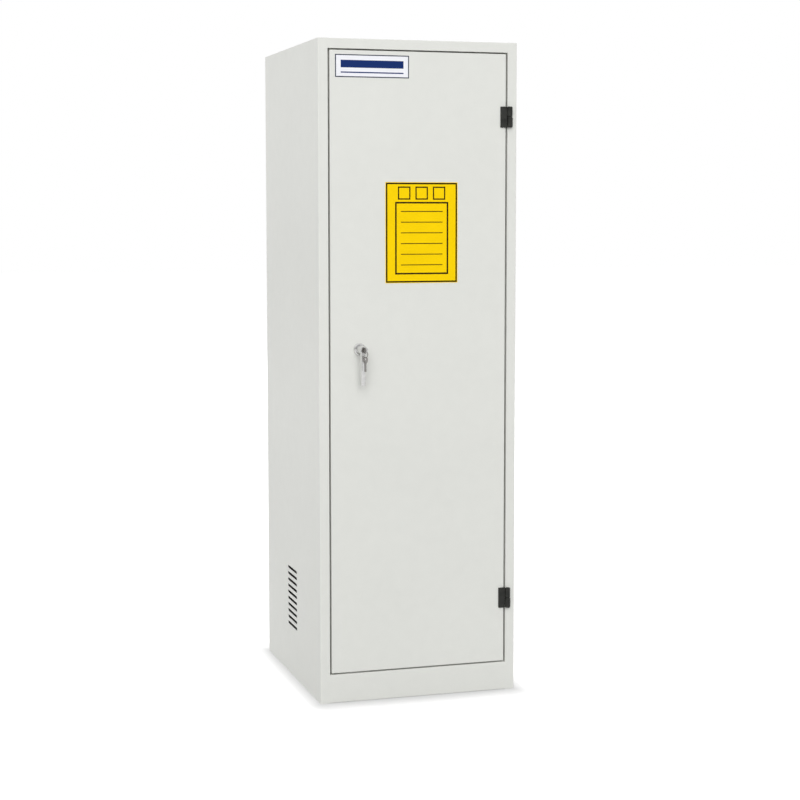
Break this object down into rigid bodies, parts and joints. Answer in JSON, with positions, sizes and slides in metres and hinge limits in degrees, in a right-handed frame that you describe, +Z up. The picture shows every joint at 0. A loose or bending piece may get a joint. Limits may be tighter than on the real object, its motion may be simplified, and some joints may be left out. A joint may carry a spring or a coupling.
{
  "type": "chemical storage cabinet",
  "caption": "Tall free-standing steel chemical cabinet with a hinged, lockable door, rimmed lift-out shelves, a sump tray and side air slots.",
  "frame": {"origin": "centre of the bounding box's underside, on the floor", "axes": "+X to the right seen from the front, +Y to the back, +Z up"},
  "size_m": [0.476, 0.5978, 1.525],
  "materials": {
    "powder_coat": "light grey powder coat, fine satin texture",
    "zinc_plate": "bright zinc plate",
    "chrome": "polished chrome plate",
    "hinge_black": "satin black coat on die-cast zinc",
    "lock_nickel": "nickel plate",
    "buffer_rubber": "matt black rubber",
    "tray_plastic": "moulded dark grey polyethylene",
    "card_yellow": "printed yellow vinyl, satin",
    "plate_white": "printed white vinyl, satin"
  },
  "bodies": {
    "cabinet": {"left_side_panel": "powder_coat", "right_side_panel": "powder_coat", "top_panel": "powder_coat", "base_panel": "powder_coat", "back_panel": "powder_coat", "left_jamb": "powder_coat", "right_jamb": "powder_coat", "header_jamb": "powder_coat", "bottom_stop": "powder_coat", "door_buffers": "buffer_rubber", "upper_hinge_frame_leaf": "hinge_black", "upper_hinge_pin": "zinc_plate", "lower_hinge_frame_leaf": "hinge_black", "lower_hinge_pin": "zinc_plate", "hinge_frame_screws": "zinc_plate", "left_front_strip": "zinc_plate", "left_rear_strip": "zinc_plate", "right_front_strip": "zinc_plate", "right_rear_strip": "zinc_plate", "lower_shelf_clips": "zinc_plate", "middle_shelf_clips": "zinc_plate", "upper_shelf_clips": "zinc_plate"},
    "door": {"door_skin": "powder_coat", "door_stiffener": "powder_coat", "upper_hinge_door_leaf": "hinge_black", "lower_hinge_door_leaf": "hinge_black", "hinge_door_screws": "zinc_plate", "handle_rose": "chrome", "rose_nut": "zinc_plate", "upper_rod_guides": "powder_coat", "lower_rod_guides": "powder_coat", "contents_card": "card_yellow", "name_plate": "plate_white"},
    "handle": {"handle_lever": "chrome", "lock_cam": "zinc_plate", "cam_pins": "zinc_plate", "cam_screw": "zinc_plate"},
    "lock": {"lock_plug": "lock_nickel", "lock_key": "lock_nickel"},
    "ring": {"key_ring": "lock_nickel"},
    "spare": {"spare_key": "lock_nickel"},
    "upper_bolt": {"upper_locking_rod": "zinc_plate"},
    "lower_bolt": {"lower_locking_rod": "zinc_plate"},
    "shelf_low": {"lower_shelf": "powder_coat"},
    "shelf_middle": {"middle_shelf": "powder_coat"},
    "shelf_high": {"upper_shelf": "powder_coat"},
    "sump": {"sump_tray": "tray_plastic"}
  },
  "joints": [
    {"name": "door_swing", "type": "hinge", "parent": "cabinet", "child": "door", "pos_m": [0.219, -0.24758, 0.07], "axis": [0, 0, 1], "range_deg": [0, 180]},
    {"name": "handle_turn", "type": "hinge", "parent": "door", "child": "handle", "pos_m": [-0.1432, -0.24108, 0.8225], "axis": [0, -1, 0], "range_deg": [0, 90]},
    {"name": "key_turn", "type": "hinge", "parent": "handle", "child": "lock", "pos_m": [-0.1432, -0.24108, 0.8225], "axis": [0, 1, 0], "range_deg": [0, 90]},
    {"name": "ring_swing", "type": "hinge", "parent": "lock", "child": "ring", "pos_m": [-0.1432, -0.29188, 0.8225], "axis": [-1, 0, 0], "range_deg": [-8, 35]},
    {"name": "spare_swing", "type": "hinge", "parent": "ring", "child": "spare", "pos_m": [-0.1432, -0.29188, 0.804], "axis": [-0.8829, -0.4695, 0], "range_deg": [-8, 40]},
    {"name": "upper_bolt_throw", "type": "slide", "parent": "door", "child": "upper_bolt", "axis": [0, 0, 1], "range_m": [0, 0.02547]},
    {"name": "lower_bolt_throw", "type": "slide", "parent": "door", "child": "lower_bolt", "axis": [0, 0, -1], "range_m": [0, 0.02547]},
    {"name": "shelf_low_lift", "type": "slide", "parent": "cabinet", "child": "shelf_low", "axis": [0, 0, 1], "range_m": [0, 0.04]},
    {"name": "shelf_middle_lift", "type": "slide", "parent": "cabinet", "child": "shelf_middle", "axis": [0, 0, 1], "range_m": [0, 0.04]},
    {"name": "shelf_high_lift", "type": "slide", "parent": "cabinet", "child": "shelf_high", "axis": [0, 0, 1], "range_m": [0, 0.04]},
    {"name": "sump_lift", "type": "slide", "parent": "cabinet", "child": "sump", "axis": [0, 0, 1], "range_m": [0, 0.04]}
  ],
  "couplings": [
    {"joint": "upper_bolt_throw", "follows": "handle_turn", "m_per_rad": 0.016206},
    {"joint": "lower_bolt_throw", "follows": "handle_turn", "m_per_rad": 0.016206}
  ]
}
